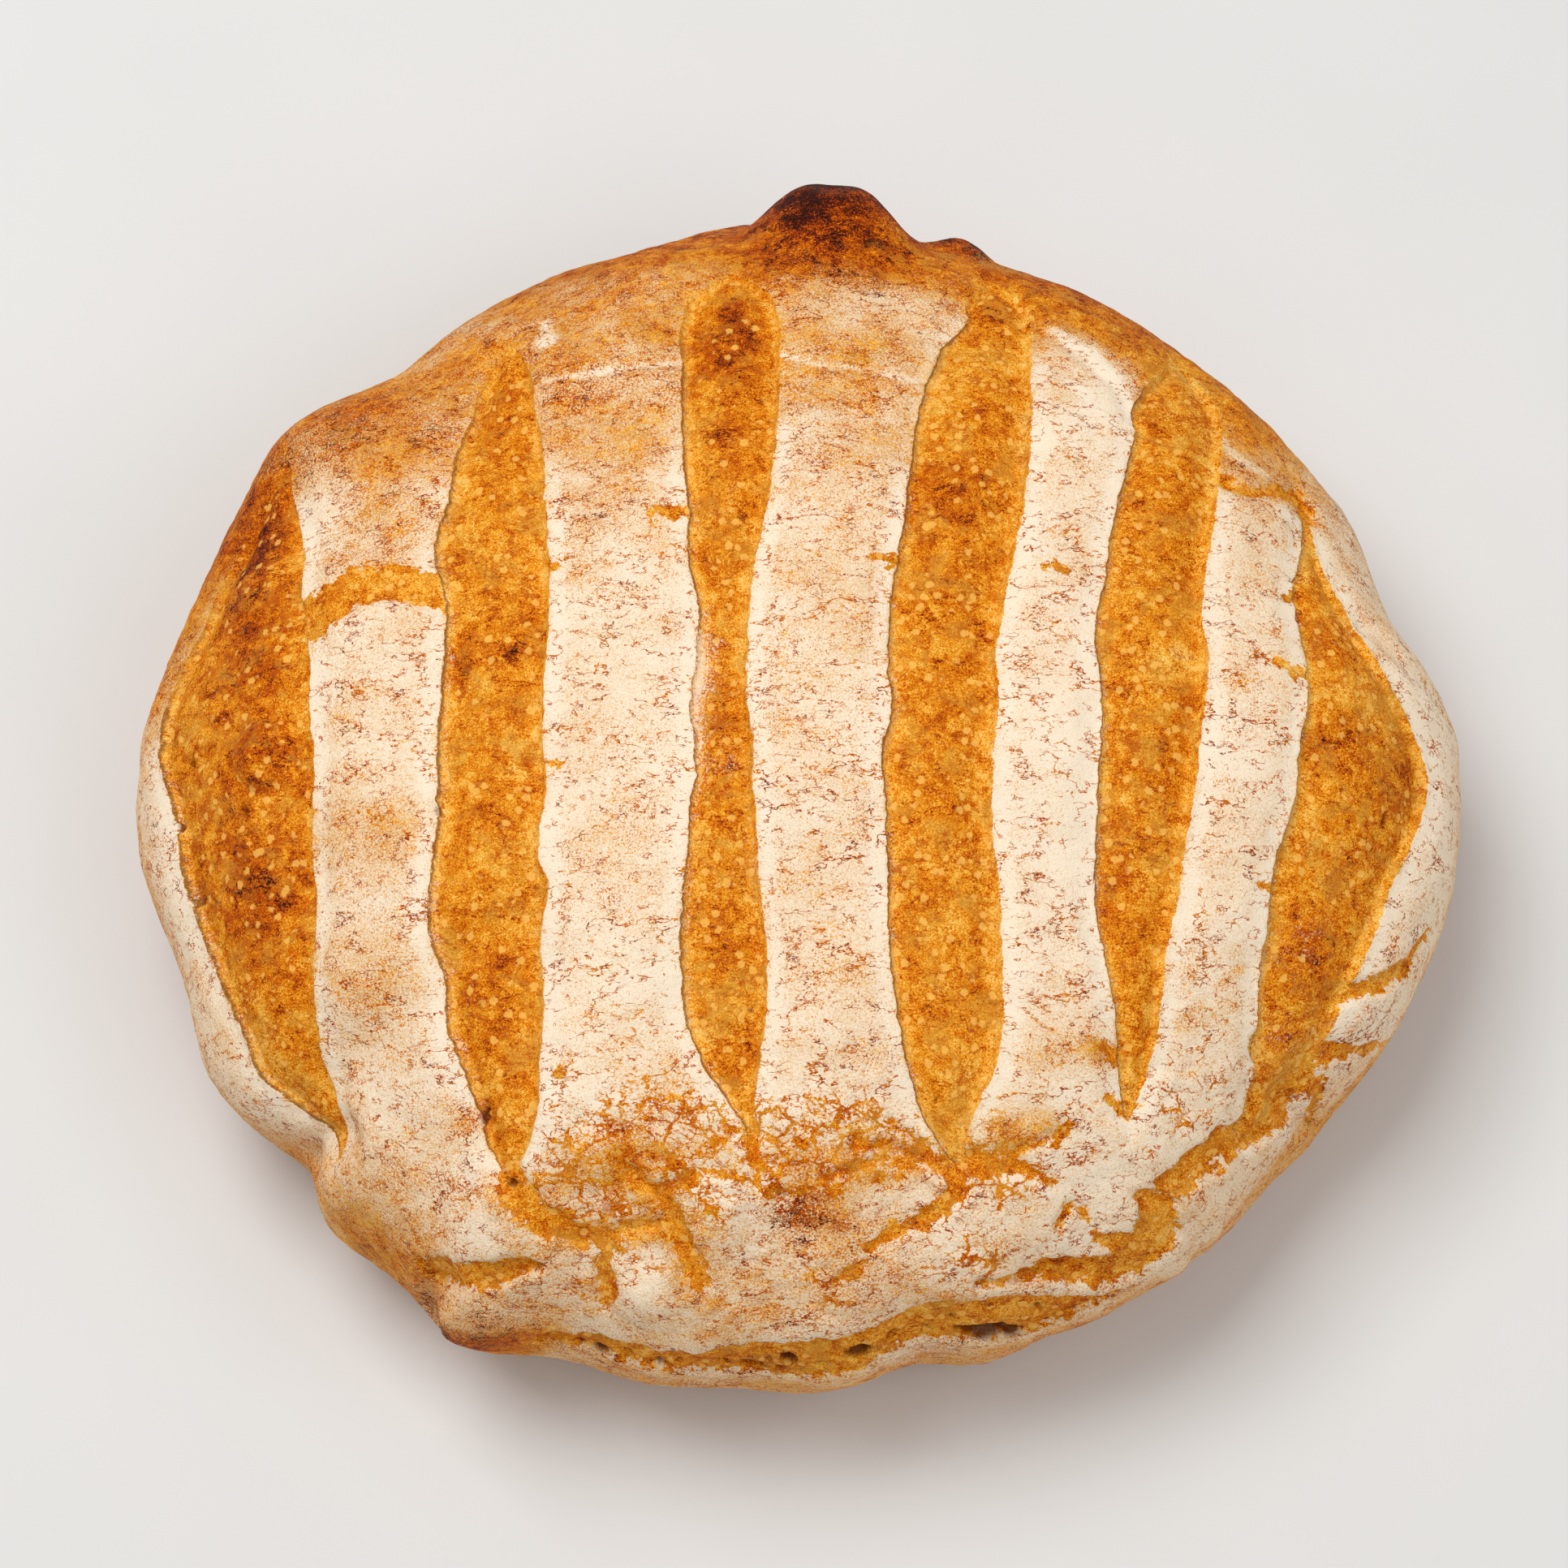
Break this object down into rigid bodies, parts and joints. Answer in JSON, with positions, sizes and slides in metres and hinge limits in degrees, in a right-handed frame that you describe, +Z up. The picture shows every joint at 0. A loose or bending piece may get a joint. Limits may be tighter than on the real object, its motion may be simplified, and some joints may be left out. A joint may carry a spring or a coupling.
{
  "type": "slashed hearth loaf",
  "caption": "Whole free-form hearth loaf, domed, dusted with flour, with long parallel slashes, a dark knob at one end and a flat base to rest on.",
  "frame": {"origin": "centre of the loaf's box, on the flat base", "axes": "+X along the longest side, across the slashes; +Y along the slashes, towards the knob; +Z up"},
  "size_m": [0.2404, 0.2226, 0.0826],
  "materials": {
    "crust": null
  },
  "bodies": {
    "root": {"loaf": "crust"}
  },
  "joints": []
}
